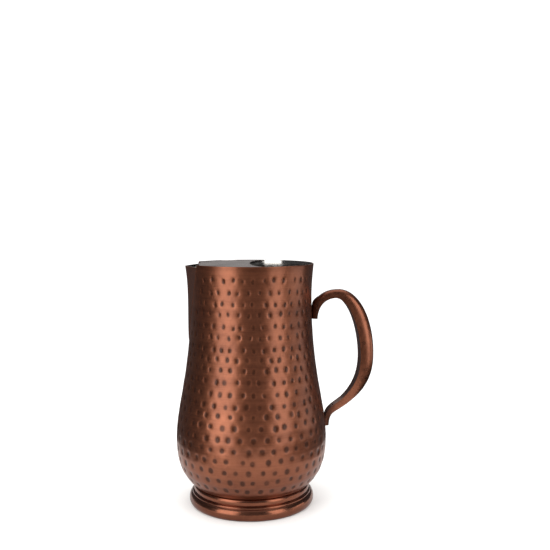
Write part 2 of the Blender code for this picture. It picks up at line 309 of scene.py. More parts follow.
def raise_rings(name, columns, rings):
    """A circle extruded and scaled from ring to ring, given as (radius, z)."""
    radius, z = rings[0]
    bpy.ops.mesh.primitive_circle_add(
        vertices=columns, radius=radius, fill_type="NOTHING", location=(AXIS_X, 0, z)
    )
    obj = bpy.context.object
    obj.name = obj.data.name = name
    edit(obj)
    bpy.ops.mesh.select_all(action="SELECT")
    for (before, low), (after, high) in zip(rings, rings[1:]):
        bpy.ops.mesh.extrude_region_move(TRANSFORM_OT_translate={"value": (0, 0, high - low)})
        scale = after / before
        bpy.ops.transform.resize(value=(scale, scale, 1), center_override=(AXIS_X, 0, high))
    done()
    bpy.ops.object.transform_apply(location=True, rotation=True, scale=True)
    return obj


def loft(name, rings):
    """A ring of points extruded through the others and closed at both ends."""
    count = len(rings[0])
    bpy.ops.mesh.primitive_circle_add(vertices=count, radius=0.01, fill_type="NOTHING")
    obj = bpy.context.object
    obj.name = obj.data.name = name
    edit(obj)
    bpy.ops.mesh.select_all(action="SELECT")
    mesh = bmesh.from_edit_mesh(obj.data)
    for vert, place in zip(mesh.verts, rings[0]):
        vert.co = place
    bmesh.update_edit_mesh(obj.data)
    bpy.ops.mesh.edge_face_add()
    for before, after in zip(rings, rings[1:]):
        bpy.ops.mesh.extrude_region_move(TRANSFORM_OT_translate={"value": (0, 0, 0)})
        mesh = bmesh.from_edit_mesh(obj.data)
        for vert in [v for v in mesh.verts if v.select]:
            nearest = min(range(count), key=lambda i: (before[i] - vert.co).length_squared)
            vert.co = after[nearest]
        bmesh.update_edit_mesh(obj.data)
    face_out()
    done()
    return obj


def smooth(obj, sharp):
    """Shades obj smooth, except where it turns by more than sharp degrees."""
    only(obj)
    bpy.ops.object.shade_smooth_by_angle(angle=math.radians(sharp))


def dress(obj, *materials):
    """Gives obj these materials, the outside one first."""
    obj.data.materials.clear()
    for material in materials:
        obj.data.materials.append(material)


def piece(obj, node):
    """Makes obj a piece of the pitcher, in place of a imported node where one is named."""
    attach(obj, "root")
    if node:
        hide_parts(node)


# --- Outlines ---


def bezier(points, t):
    """The point at share t of a cubic curve."""
    a, b, c, d = (Vector(p) for p in points)
    s = 1 - t
    return a * s**3 + b * (3 * s * s * t) + c * (3 * s * t * t) + d * t**3


def along(chain, steps):
    """Points along joined cubic curves, given as an end, two handles, an end, and so on."""
    points = [bezier(chain[:4], 0)]
    for first in range(0, len(chain) - 1, 3):
        points += [bezier(chain[first : first + 4], i / steps) for i in range(1, steps + 1)]
    return points


def body_outline(sizes, steps=90):
    """The outside of the body from its bottom edge to the rim, as (radius, z)."""
    floor = (sizes.floor_radius, FLOOR_Z)
    belly = (sizes.belly_radius, sizes.belly_height)
    neck = (sizes.neck_radius, HEIGHT - sizes.neck_drop)
    rim = (sizes.rim_radius, HEIGHT)
    turn = belly[0] - floor[0]
    rise = belly[1] - floor[1]
    waist = neck[1] - belly[1]
    collar = sizes.neck_drop
    chain = [
        floor,
        (floor[0] + 0.6 * turn, floor[1] + 0.19 * rise),
        (belly[0], belly[1] - 0.57 * rise),
        belly,
        (belly[0], belly[1] + 0.25 * waist),
        (neck[0], neck[1] - 0.555 * waist),
        neck,
        (neck[0], neck[1] + 0.37 * collar),
        (rim[0] - 0.0005, HEIGHT - 0.22 * collar),
        rim,
    ]
    return along(chain, steps)


def wall_radius(sizes, z):
    """Outside radius of the body at height z."""
    return at_height(body_outline(sizes), z).x


def at_height(line, z):
    """The point of the line at height z."""
    for low, high in zip(line, line[1:]):
        if z <= high.y:
            return low.lerp(high, max(0.0, z - low.y) / (high.y - low.y))
    return line[-1]


def spaced(line, low_z, high_z, count):
    """count + 1 points at even steps along the line between two heights."""
    fine = [at_height(line, low_z)]
    fine += [p for p in line if low_z + SAME < p.y < high_z - SAME]
    fine.append(at_height(line, high_z))
    run = [0.0]
    for before, after in zip(fine, fine[1:]):
        run.append(run[-1] + (after - before).length)
    points = []
    for i in range(count + 1):
        want = run[-1] * i / count
        j = max(k for k in range(len(run) - 1) if run[k] <= want)
        share = (want - run[j]) / (run[j + 1] - run[j])
        points.append(fine[j].lerp(fine[j + 1], share))
    return points


# --- Finishes ---


def feed(value, target):
    """Gives a socket a value, or the link that brings one."""
    if isinstance(value, bpy.types.NodeSocket):
        target.id_data.links.new(value, target)
    else:
        target.default_value = value


def fill(node, **values):
    """Feeds a node's sockets by name, where an underscore stands for a space."""
    for name, value in values.items():
        feed(value, node.inputs[name.replace("_", " ")])


class Finish:
    """A material under construction, with short names for its nodes."""

    def __init__(self, name):
        self.material = bpy.data.materials.new(name)
        self.material.use_nodes = True
        self.tree = self.material.node_tree
        self.shader = self.tree.nodes["Principled BSDF"]
        self.place = self.add("ShaderNodeTexCoord").outputs["Object"]

    def add(self, kind, **settings):
        """A new node with these settings."""
        node = self.tree.nodes.new(kind)
        for name, value in settings.items():
            setattr(node, name, value)
        return node

    def stretched(self, scale):
        """Object coordinates measured from the body's axis and stretched by scale."""
        mapping = self.add("ShaderNodeMapping", vector_type="POINT")
        fill(mapping, Vector=self.place, Location=(-AXIS_X * scale[0], 0, 0), Scale=scale)
        return mapping.outputs["Vector"]

    def noise(self, scale, detail=3.0, roughness=0.5, stretch=(1, 1, 1)):
        """Noise over the piece, from 0 to 1."""
        node = self.add("ShaderNodeTexNoise")
        place = self.stretched(stretch)
        fill(node, Vector=place, Scale=scale, Detail=detail, Roughness=roughness)
        return node.outputs["Fac"]

    def remap(self, value, low, high, to_low=0.0, to_high=1.0):
        """The value carried from one range to another, and held inside it."""
        node = self.add("ShaderNodeMapRange", clamp=True)
        fill(node, Value=value, From_Min=low, From_Max=high, To_Min=to_low, To_Max=to_high)
        return node.outputs["Result"]

    def math(self, operation, *values):
        """The result of a Math node."""
        node = self.add("ShaderNodeMath", operation=operation)
        for value, socket in zip(values, node.inputs):
            feed(value, socket)
        return node.outputs["Value"]

    def total(self, start, *shares):
        """start plus each value times its weight."""
        for source, weight in shares:
            start = self.math("MULTIPLY_ADD", source, weight, start)
        return start

    def mix(self, share, first, second):
        """The first colour where share is 0, and the second where it is 1."""
        node = self.add("ShaderNodeMix", data_type="RGBA")
        colours = [s for s in node.inputs if s.type == "RGBA"]
        for value, socket in zip((first, second, share), (*colours, node.inputs["Factor"])):
            feed(value, socket)
        return next(s for s in node.outputs if s.type == "RGBA")

    def attribute(self, name):
        """A value kept on the mesh under this name."""
        return self.add("ShaderNodeAttribute", attribute_name=name).outputs["Fac"]

    def bump(self, height, distance, below=None):
        """A normal raised by height times distance, on top of the one below."""
        node = self.add("ShaderNodeBump")
        fill(node, Height=height, Distance=distance, Strength=1.0)
        if below:
            fill(node, Normal=below)
        return node.outputs["Normal"]

    def close(self, colour, roughness, normal, metallic=1.0, coat=0.0, coat_roughness=0.3):
        """Joins the finish to its shader and gives the material."""
        fill(self.shader, Base_Color=colour, Roughness=roughness, Normal=normal)
        fill(self.shader, Metallic=metallic, Coat_Weight=coat, Coat_Roughness=coat_roughness)
        return self.material


def rgba(colour):
    """A colour with full cover."""
    return (*colour, 1.0)


MAIN_BRUSH = (60, 60, 1600)  # stretch of the brush lines round the body
BROAD, BROADER = 9, 36  # how many times coarser the two broad sets of lines are


def copper(name, colours, gloss=0.0, darkness=0.0, marks=False, lines=MAIN_BRUSH):
    """Antique copper plate, rubbed bright in clouds and brush lines over a darkened brown."""
    finish = Finish(name)
    cloud = finish.remap(finish.noise(28, 4, 0.55), 0.34, 0.68)
    fine = finish.remap(finish.noise(260, 3, 0.6), 0.3, 0.7)
    streak = finish.remap(finish.noise(1, 2, 0.5, lines), 0.3, 0.7)
    band = finish.remap(finish.noise(1, 2, 0.5, [n / BROAD for n in lines]), 0.32, 0.68)
    sweep = finish.remap(finish.noise(1, 1, 0.5, [n / BROADER for n in lines]), 0.35, 0.65)
    rubbed = finish.total(
        -0.16 - darkness, (cloud, 0.36), (fine, 0.22), (streak, 0.26), (band, 0.30), (sweep, 0.34)
    )
    rubbed = finish.remap(rubbed, 0, 1)
    base = finish.mix(rubbed, rgba(colours.brown), rgba(colours.copper))
    rough = finish.total(0.36 - gloss, (cloud, -0.08), (streak, 0.08))
    if marks:
        # The attribute holds the real patina in the hammer marks, and painted shade on the handle
        # where it meets the wall.
        deep = finish.attribute("patina")
        ragged = finish.total(-0.14, (deep, 1.0), (fine, 0.28))
        ragged = finish.remap(ragged, 0.08, 0.9, 0.0, 0.95)
        base = finish.mix(ragged, base, rgba(colours.patina))
        rough = finish.total(0.0, (rough, 1.0), (ragged, 0.20))
    uneven = finish.bump(finish.noise(120, 2, 0.5), 0.00012)
    brushed = finish.bump(streak, 0.00002, uneven)
    return finish.close(base, rough, brushed, coat=0.4, coat_roughness=0.26)


def steel(name, bright, dim, stretch, rough):
    """Brushed stainless steel, with its brush lines set by stretch."""
    finish = Finish(name)
    streak = finish.noise(1, 3, 0.6, stretch)
    cloud = finish.remap(finish.noise(40, 3, 0.5), 0.3, 0.7)
    dull = finish.math("MULTIPLY", cloud, finish.remap(streak, 0.3, 0.7, 0.3, 1.0))
    base = finish.mix(dull, rgba(bright), rgba(dim))
    spread = finish.remap(streak, 0.3, 0.7, rough - 0.05, rough + 0.09)
    brushed = finish.bump(streak, 0.000025)
    return finish.close(base, spread, brushed)


def made(name, maker, *args, **settings):
    """The material called name, made the first time that a piece asks for it."""
    return bpy.data.materials.get(name) or maker(name, *args, **settings)


def hammered_copper(colours):
    return made("hammered_copper_plate", copper, colours, marks=True)


def smooth_copper(colours):
    return made("smooth_copper_plate", copper, colours)


def spun_copper(colours):
    lines = (20, 20, 2600)
    return made("spun_foot_copper", copper, colours, gloss=0.16, darkness=0.20, lines=lines)


def handle_copper(colours):
    lines = (300, 900, 300)
    # marks=True darkens the handle near the wall: painted shade where the tabs meet the body.
    return made("handle_copper_plate", copper, colours, 0.05, 0.16, marks=True, lines=lines)


def strip_copper(colours):
    lines = (300, 1200, 300)
    # The strip lies on the handle's inner face, toward the body; darkness=0.42 paints it darker
    # than the shell as painted shade.
    return made("strip_copper_plate", copper, colours, darkness=0.42, lines=lines)


def inside_steel(colours):
    lines = (30, 30, 1400)
    return made("inside_steel", steel, colours.steel, colours.grime, lines, rough=0.12)


def guard_steel(colours):
    lines = (40, 1800, 400)
    return made("guard_steel", steel, colours.guard, colours.guard_grime, lines, rough=0.3)


# --- Body ---

BOTTOM_RINGS = (0.06, 0.3, 0.6, 0.85, 0.96, 0.992)  # shares of the flat bottom's radius
RIM_BAND = 0.0006  # height of the last ring under the rim
CELL_LAND = 0.24  # share of a cell that stays level at each side of its mark
MARK_SLOPE = 0.15  # run of a mark's slope, as a share of the width under the rim
MARK_GAP = 0.0003  # least level metal at the side of a cell
LIP_DEPOSIT = 0.12  # deposit at a mark's lip, where 1 is full
BLOW_SEED = 7
WIDTH_SPREAD = (0.8, 1.12)  # a mark's width, in middling ones
TALL_SPREAD = (0.95, 1.12)  # a mark's height, in its own widths
TURN_SPREAD = (-0.3, 0.3)  # turn of a mark's corners, in radians
WEIGHT_SPREAD = (0.65, 1.3)  # a blow's weight, in middling ones


def notch_half_width(sizes, z):
    """Half width of the spout notch at height z."""
    return sizes.half_width * (z - (HEIGHT - sizes.drop)) / sizes.drop


def body_rings(sizes):
    """Rings from the middle of the bottom to the rim, and the heights of the mark rows."""
    line = body_outline(sizes)
    corner = line[0]
    bottom = [(corner.x * share, FLOOR_Z) for share in BOTTOM_RINGS]
    lower = spaced(line, FLOOR_Z, sizes.lowest_marks, 3)
    marked = spaced(line, sizes.lowest_marks, sizes.highest_marks, sizes.mark_rows)
    upper = spaced(line, sizes.highest_marks, HEIGHT, 4)
    rings = bottom + [tuple(p) for p in lower + marked[1:-1] + upper]
    rings.insert(-1, (rings[-1][0], HEIGHT - RIM_BAND))
    return rings, [p.y for p in marked]


def kept(stray, room):
    """The stray of a blow, held short of the neighbouring marks."""
    room = max(room - MARK_GAP, 0.0)
    return min(max(stray, -room), room)


def hammer_order(cell):
    """Row by row up the body, and round each row from between two columns of cells."""
    place = middle(cell)
    return round(place.z, 4), (bearing(place) + 0.01) % math.tau


def strike(obj, sizes, edge):
    """Hammers a round mark into each selected face; edge is the land left around a face."""
    blows = random.Random(BLOW_SEED)
    mesh = bmesh.from_edit_mesh(obj.data)
    patina = mesh.verts.layers.float.new("patina")
    stray = sizes.mark_stray
    slope = sizes.mark_width_high * MARK_SLOPE
    rows = {}
    struck = {}
    for cell in sorted([f for f in mesh.faces if f.select], key=hammer_order):
        centre = middle(cell)
        outward = Vector((centre.x - AXIS_X, centre.y, 0)).normalized()
        across = Vector((-outward.y, outward.x, 0))
        normal = cell.normal if cell.normal.dot(outward) > 0 else -cell.normal
        rise = normal.cross(across).normalized()
        if rise.z < 0:
            rise = -rise
        row = rows.setdefault(round(centre.z, 4), blows.gauss(0, stray * 0.5))
        height = (centre.z - sizes.lowest_marks) / (sizes.highest_marks - sizes.lowest_marks)
        width = sizes.mark_width_low + (sizes.mark_width_high - sizes.mark_width_low) * height
        width *= blows.uniform(*WIDTH_SPREAD)
        tall = width * blows.uniform(*TALL_SPREAD)
        lean = blows.uniform(*TURN_SPREAD)
        sides = [abs((v.co - centre).dot(across)) + edge for v in cell.verts]
        ends = [abs((v.co - centre).dot(rise)) + edge for v in cell.verts]
        aside = kept(blows.gauss(0, stray), max(sides) - width / 2)
        above = kept(row + blows.gauss(0, stray * 0.4), max(ends) - tall / 2)
        aim = centre + across * aside + rise * above
        for vert in cell.verts:
            offset = vert.co - centre
            turn = math.atan2(offset.dot(rise), offset.dot(across)) + lean
            x, y = math.cos(turn) * width / 2, math.sin(turn) * tall / 2
            vert.co = aim + across * x + rise * y
            vert[patina] = LIP_DEPOSIT
        weight = blows.uniform(*WEIGHT_SPREAD)
        deposit = min(1, 0.35 + 0.6 * weight)
        struck[cell.index] = (aim, -normal * sizes.mark_depth * weight, deposit)
    bmesh.update_edit_mesh(obj.data)
    bpy.ops.mesh.inset(thickness=slope, depth=0, use_individual=True)
    mesh = bmesh.from_edit_mesh(obj.data)
    patina = mesh.verts.layers.float["patina"]
    for cell in mesh.faces:
        if cell.select:
            aim, push, deposit = struck[cell.index]
            near = sum((v.co - aim).length for v in cell.verts) / len(cell.verts)
            far = near + slope
            for vert in cell.verts:
                vert.co = aim + (vert.co - aim) * (sizes.mark_floor * far / near) + push
                vert[patina] = deposit
    bmesh.update_edit_mesh(obj.data)


def stagger(obj, rows, columns):
    """Opens every other upright edge in the marked rows, so that cells lie like bricks."""

    def opened(edge):
        low, high = sorted(v.co.z for v in edge.verts)
        if high - low < 1e-4 or low < rows[0] - 1e-5 or high > rows[-1] + 1e-5:
            return False
        row = min(range(len(rows)), key=lambda i: abs(rows[i] - low))
        column = round(bearing(middle(edge)) / math.tau * columns)
        return (row + column) % 2 == 0

    select(obj, "edges", opened)
    bpy.ops.mesh.dissolve_edges(use_verts=False)


class PITCHER_OT_body(bpy.types.Operator):
    """Raise the body, hammer it, notch it for the spout and give it its wall"""

    bl_idname = "pitcher.body"
    bl_label = "Hammered Body"

    def execute(self, context):
        sizes = context.scene.pitcher_body
        spout = context.scene.pitcher_spout
        colours = context.scene.pitcher_colours
        rings, rows = body_rings(sizes)
        columns = 2 * sizes.marks_per_row
        body = raise_rings("hammered_body", columns, rings)
        edit(body)
        select(body, "verts", lambda v: from_axis(v.co) < rings[0][0] * 1.01)
        bpy.ops.mesh.edge_face_add()
        bpy.ops.mesh.poke()
        face_out()
        bpy.ops.mesh.select_mode(type="EDGE")
        stagger(body, rows, columns)
        bpy.ops.mesh.select_mode(type="FACE")

        def struck(face):
            place = middle(face)
            if len(face.verts) != 6:
                return False
            room = notch_half_width(spout, place.z) + sizes.mark_width_low * 0.9
            return not (place.x < AXIS_X and abs(place.y) < room)

        select(body, "faces", struck)
        land = CELL_LAND * math.tau * sizes.belly_radius / sizes.marks_per_row
        bpy.ops.mesh.inset(thickness=land, depth=0, use_individual=True)
        strike(body, sizes, land)
        done()
        apply(body, "SUBSURF", levels=1, render_levels=1)
        self.notch(body, spout)
        dress(body, hammered_copper(colours), inside_steel(colours))
        give_wall(body, sizes.wall)
        round_top(body, HEIGHT, 0.0002, sizes.rim_round, runs_round)
        smooth(body, 60)
        piece(body, "body")
        return {"FINISHED"}

    def notch(self, body, spout):
        """Slits the wall along both creases and drops the piece between them."""
        point_z = HEIGHT - spout.drop
        slope = spout.half_width / spout.drop
        edit(body, "FACE")
        for side in (1, -1):
            select(body, "faces", lambda f: middle(f).x < SPOUT_SIDE)
            bpy.ops.mesh.bisect(
                plane_co=(AXIS_X, 0, point_z), plane_no=(0, side, -slope), threshold=SAME
            )
        select(
            body,
            "faces",
            lambda f: middle(f).x < SPOUT_SIDE
            and middle(f).z > point_z
            and abs(middle(f).y) < slope * (middle(f).z - point_z) - SAME,
        )
        bpy.ops.mesh.delete(type="FACE")
        done()


# --- Spout ---

PANEL_COLUMNS, PANEL_ROWS = 28, 30
FOLD_START = 0.0022  # notch's point up to the panel's lower end
FOLD_SWELL = 0.0012  # how far the fold stands off the wall low down
FOLD_LEAN = 0.0008  # how far it stands off the neck before it runs out to the lip


def ridge_radius(body, spout, z):
    """Distance of the spout's fold from the body axis at height z."""
    point_z = HEIGHT - spout.drop
    low = wall_radius(body, point_z)
    high = body.neck_radius + FOLD_LEAN
    t = (z - point_z) / (LIP_Z - point_z)
    return bezier([(low, 0), (low + FOLD_SWELL, 0), (high, 0), (SPOUT_REACH, 0)], t).x


class PITCHER_OT_spout(bpy.types.Operator):
    """Fold the spout panel and braze it into the notch"""

    bl_idname = "pitcher.spout"
    bl_label = "Spout"

    def execute(self, context):
        body = context.scene.pitcher_body
        sizes = context.scene.pitcher_spout
        colours = context.scene.pitcher_colours
        first_z = HEIGHT - sizes.drop + FOLD_START
        bpy.ops.mesh.primitive_grid_add(
            x_subdivisions=PANEL_COLUMNS, y_subdivisions=PANEL_ROWS, size=2
        )
        panel = bpy.context.object
        panel.name = panel.data.name = "spout_panel"
        edit(panel)
        mesh = bmesh.from_edit_mesh(panel.data)
        ending = math.hypot(1, sizes.fold_round) - sizes.fold_round
        heights = {}
        for vert in mesh.verts:
            share, rise = vert.co.x, (vert.co.y + 1) / 2
            z = first_z + (LIP_Z - first_z) * rise
            if rise not in heights:
                half = notch_half_width(sizes, z) + 0.0001
                edge = math.sqrt(wall_radius(body, z) ** 2 - half**2)
                heights[rise] = (half, edge, ridge_radius(body, sizes, z))
            half, edge, ridge = heights[rise]
            away = (math.hypot(share, sizes.fold_round) - sizes.fold_round) / ending
            vert.co = (AXIS_X - (ridge + (edge - ridge) * away), half * share, z)
        bmesh.update_edit_mesh(panel.data)
        face_out()
        done()
        if sum(p.normal.x for p in panel.data.polygons) > 0:
            panel.data.flip_normals()
        dress(panel, smooth_copper(colours), inside_steel(colours))
        give_wall(panel, body.wall)
        round_top(panel, LIP_Z, 0.0006, 0.0002, runs_across)
        smooth(panel, 50)
        piece(panel, "spout")
        for side in (1, -1):
            self.seam(context, side)
        return {"FINISHED"}

    def seam(self, context, side):
        """A thin brazed bead along one crease."""
        body = context.scene.pitcher_body
        sizes = context.scene.pitcher_spout
        steps, sides = 24, 8
        rings = []
        low = HEIGHT - sizes.drop + 0.001
        for i in range(steps + 1):
            z = low + (LIP_Z - 0.0003 - low) * i / steps
            half = notch_half_width(sizes, z)
            radius = wall_radius(body, z) - sizes.seam * 0.75
            turn = math.asin(min(1, half / radius))
            centre = Vector((AXIS_X - radius * math.cos(turn), side * radius * math.sin(turn), z))
            outward = Vector((-math.cos(turn), side * math.sin(turn), 0))
            across = Vector((math.sin(turn), side * math.cos(turn), 0))
            rings.append(
                [
                    centre
                    + outward * sizes.seam * math.cos(math.tau * k / sides)
                    + across * sizes.seam * math.sin(math.tau * k / sides)
                    for k in range(sides)
                ]
            )
        bead = loft("spout_seam_near" if side < 0 else "spout_seam_far", rings)
        smooth(bead, 60)
        dress(bead, smooth_copper(context.scene.pitcher_colours))
        piece(bead, None)


# --- Ice guard ---


class PITCHER_OT_ice_guard(bpy.types.Operator):
    """Cut the ice guard from a disc and dress its edges"""

    bl_idname = "pitcher.ice_guard"
    bl_label = "Ice Guard"

    def execute(self, context):
        body = context.scene.pitcher_body
        sizes = context.scene.pitcher_guard
        colours = context.scene.pitcher_colours
        radius = body.rim_radius - body.wall - sizes.clearance
        corner_x = sizes.corner - body.rim_radius
        start = math.pi - math.acos(-corner_x / radius)
        end = math.pi - sizes.horn_angle
        steps = 40
        side = [
            Vector((radius * math.cos(turn), radius * math.sin(turn)))
            for turn in (start + (end - start) * i / steps for i in range(steps + 1))
        ]
        horn = side[-1]
        pull = (4 * sizes.opening - horn.x) / 3
        hollow = [horn, (pull, horn.y), (pull, -horn.y), (horn.x, -horn.y)]
        bow = corner_x - sizes.bow * 4 / 3
        edge = [(corner_x, -side[0].y), (bow, -side[0].y / 3), (bow, side[0].y / 3), side[0]]
        outline = side + along(hollow, 60)[1:]
        outline += [Vector((p.x, -p.y)) for p in reversed(side[:-1])] + along(edge, 30)[1:-1]
        guard = loft(
            "ice_guard_plate",
            [
                [Vector((AXIS_X + p.x, p.y, z)) for p in outline]
                for z in (GUARD_LOW.z, GUARD_HIGH.z)
            ],
        )
        round_edges(guard, sizes.edge_round, 50)
        smooth(guard, 30)
        dress(guard, guard_steel(colours))
        piece(guard, "ice_guard")
        return {"FINISHED"}


# --- Foot ---


class PITCHER_OT_foot_ring(bpy.types.Operator):
    """Spin the stepped and flared foot ring"""

    bl_idname = "pitcher.foot_ring"
    bl_label = "Foot Ring"

    def execute(self, context):
        sizes = context.scene.pitcher_foot
        colours = context.scene.pitcher_colours
        top = FOOT_TOP
        base, wall = sizes.base_radius, sizes.wall
        flare = base + sizes.flare
        throat = base - sizes.throat_step
        bead = [
            (throat, top),
            (throat + 0.0021, top - 0.0003),
            (throat + 0.0021, top - 0.0040),
            (throat + 0.0013, top - 0.0054),
        ]
        step = [
            (throat + 0.0029, top - 0.0058),
            (throat + 0.0030, top - 0.0066),
            (throat + 0.0029, top - 0.0072),
        ]
        skirt = [(flare - 0.0005, top - 0.0086), (flare, 0.0060), (flare, 0.0040)]
        edge = [(flare, 0.0018), (base + 0.0007, 0), (base - 0.0004, 0)]
        outside = along(bead + step + skirt + edge, 10)
        inner = throat - wall
        inside = [
            (base - sizes.flange, 0),
            (base - sizes.flange, wall),
            (base - 0.0012, wall),
            (flare - wall, 0.0040),
            (inner + 0.0022, top - 0.0076),
            (inner, top - 0.0056),
            (inner, top - wall),
            (throat - sizes.flange, top - wall),
            (throat - sizes.flange, top),
            tuple(outside[0]),
        ]
        foot = raise_rings("spun_foot", 160, [tuple(p) for p in outside] + inside)
        edit(foot)
        bpy.ops.mesh.select_all(action="SELECT")
        bpy.ops.mesh.remove_doubles(threshold=SAME)
        face_out()
        done()
        round_edges(foot, 0.0002, 40)
        smooth(foot, 35)
        dress(foot, spun_copper(colours))
        piece(foot, "foot_ring")
        return {"FINISHED"}


# --- Handle ---

HANDLE_STEPS = 20  # stations along each of the centreline's four parts
STRIP_FROM, STRIP_TO = 0.155, 0.82  # the strip's ends, as shares of the handle's stations
STRIP_THICKNESS = 0.0010
STRIP_CROWN = 0.00005
REBATE = 0.0013  # depth of the shell's rebate for the strip
NO_REBATE = 0.02  # share of it that is left on the tabs
SECTION_STEPS = 22  # points round the shell's back
SIDE_POWER, BACK_POWER = 0.75, 0.6  # how full the shell's sides and back are
WEB_FROM, WEB_RUN = 0.13, 0.42  # the web's start and length, in parts of the centreline
# The handle's copper is painted darker near the wall: deposit and painted shade where the handle
# meets the body.
TAB_SHADE_REACH = 0.011  # distance from the wall over which the tabs' deposit and painted shade fade
TAB_SHADE_MOST = 0.85


def handle_line(body, sizes):
    """The curves of the handle's centreline, as (x, z) from the body axis."""
    upper_z = HEIGHT - sizes.upper_drop
    arch_z = HEIGHT - sizes.arch_drop - sizes.arch_depth / 2
    upper_x = wall_radius(body, upper_z) + sizes.tab_depth / 2 - sizes.tab_sink
    arch_x = wall_radius(body, upper_z) + sizes.arch_run
    grip_x = HANDLE_REACH - sizes.grip_depth / 2
    elbow_x = wall_radius(body, sizes.lower_height) + sizes.elbow_run
    lower_x = wall_radius(body, sizes.lower_height) + sizes.foot_depth / 2 - sizes.tab_sink
    reach = grip_x - arch_x
    drop = arch_z - sizes.grip_height
    fall = sizes.grip_height - sizes.elbow_height
    return [
        (upper_x, upper_z),
        (upper_x, upper_z + 0.016),
        (arch_x - 0.009, arch_z),
        (arch_x, arch_z),
        (arch_x + 0.61 * reach, arch_z),
        (grip_x, sizes.grip_height + 0.49 * drop),
        (grip_x, sizes.grip_height),
        (grip_x, sizes.grip_height - 0.54 * fall),
        (elbow_x + 0.0091, sizes.elbow_height + 0.0078),
        (elbow_x, sizes.elbow_height),
        (elbow_x - 0.0115, sizes.elbow_height - 0.0085),
        (lower_x, sizes.lower_height + 0.013),
        (lower_x, sizes.lower_height),
    ]


def swelling(upper, arch, grip, elbow, lower, steps):
    """A size along the handle that passes smoothly through these five values."""
    shoulder = grip * 1.08
    chain = [upper, (upper + 3 * arch) / 4, (upper + 5 * arch) / 6, arch]
    chain += [(arch + 8 * shoulder) / 9, shoulder, grip]
    chain += [grip, (grip + 3 * elbow) / 4, elbow]
    chain += [(4 * elbow + lower) / 5, (elbow + lower) / 2, lower]
    return [p.x for p in along([(size, 0) for size in chain], steps)]


def handle_stations(body, sizes, steps):
    """(centre, outward normal, depth, width) at each step of the handle."""
    line = along(handle_line(body, sizes), steps)
    arch, grip = sizes.arch_depth, sizes.grip_depth
    deep = swelling(sizes.tab_depth, arch, grip, arch, sizes.foot_depth, steps)
    arch, grip = sizes.arch_width, sizes.grip_width
    wide = swelling(sizes.tab_width, arch, grip, arch, sizes.tab_width, steps)
    stations = []
    for i, point in enumerate(line):
        before, after = line[max(i - 1, 0)], line[min(i + 1, len(line) - 1)]
        run = (after - before).normalized()
        if i in (0, 2 * steps, len(line) - 1):
            run = Vector((0, math.copysign(1, run.y)))
        normal = Vector((-run.y, run.x))
        rise = (i / steps - WEB_FROM) / WEB_RUN
        web = sizes.web * math.sin(math.pi * rise) ** 2 if 0 < rise < 1 else 0
        stations.append((point + normal * web / 2, normal, deep[i] + web, wide[i]))
    return stations


def placed(station, points):
    """Section points (across, out) at a station, in the pitcher's frame."""
    centre, normal = station[0], station[1]
    return [
        Vector((AXIS_X + centre.x + normal.x * out, across, centre.y + normal.y * out))
        for across, out in points
    ]


def shell_section(depth, width, sizes, recess):
    """The pressed shell's outline, with a rebate for the strip on its flat side."""
    half, low = width / 2, -depth / 2
    seat = half - sizes.edge
    floor = low + REBATE * recess
    points = []
    for step in range(SECTION_STEPS + 1):
        turn = math.pi * step / SECTION_STEPS
        across = math.copysign(abs(math.cos(turn)) ** SIDE_POWER, math.cos(turn))
        points.append((half * across, low + depth * math.sin(turn) ** BACK_POWER))
    points += [(-seat, low), (-seat, floor), (-seat * 0.34, floor), (seat * 0.34, floor)]
    points += [(seat, floor), (seat, low)]
    return points


class PITCHER_OT_handle(bpy.types.Operator):
    """Press the handle's shell, fit its strip and set both against the wall"""

    bl_idname = "pitcher.handle"
    bl_label = "Handle"

    def execute(self, context):
        body = context.scene.pitcher_body
        sizes = context.scene.pitcher_handle
        colours = context.scene.pitcher_colours
        stations = handle_stations(body, sizes, HANDLE_STEPS)
        start, end = (round(len(stations) * share) for share in (STRIP_FROM, STRIP_TO))
        rings = []
        for i, station in enumerate(stations):
            recess = 1.0 if start <= i <= end else NO_REBATE
            rings.append(placed(station, shell_section(station[2], station[3], sizes, recess)))
        shell = loft("handle_pressing", rings)
        smooth(shell, 40)
        # Painted shade: the handle is darkened where it comes close to the wall.
        self.paint_tab_shade(shell, body)
        dress(shell, handle_copper(colours))
        piece(shell, "handle_shell")
        strip_rings = []
        for station in stations[start : end + 1]:
            half = station[3] / 2 - sizes.edge - sizes.strip_gap
            low = -station[2] / 2 + sizes.strip_sink
            high = low + STRIP_THICKNESS
            crown = (0, low - STRIP_CROWN)
            section = [(half, low), (half, high), (-half, high), (-half, low), crown]
            strip_rings.append(placed(station, section))
        strip = loft("handle_inner_strip", strip_rings)
        smooth(strip, 30)
        dress(strip, strip_copper(colours))
        piece(strip, "handle_strip")
        return {"FINISHED"}

    def paint_tab_shade(self, shell, body):
        """Paints deposit and painted shade into the copper where the handle comes close to the
        wall.
        """
        patina = shell.data.attributes.new("patina", "FLOAT", "POINT")
        for vert, value in zip(shell.data.vertices, patina.data):
            away = from_axis(vert.co) - wall_radius(body, vert.co.z)
            value.value = TAB_SHADE_MOST * min(1.0, max(0.0, 1.25 - away / TAB_SHADE_REACH))


# --- Stage ---

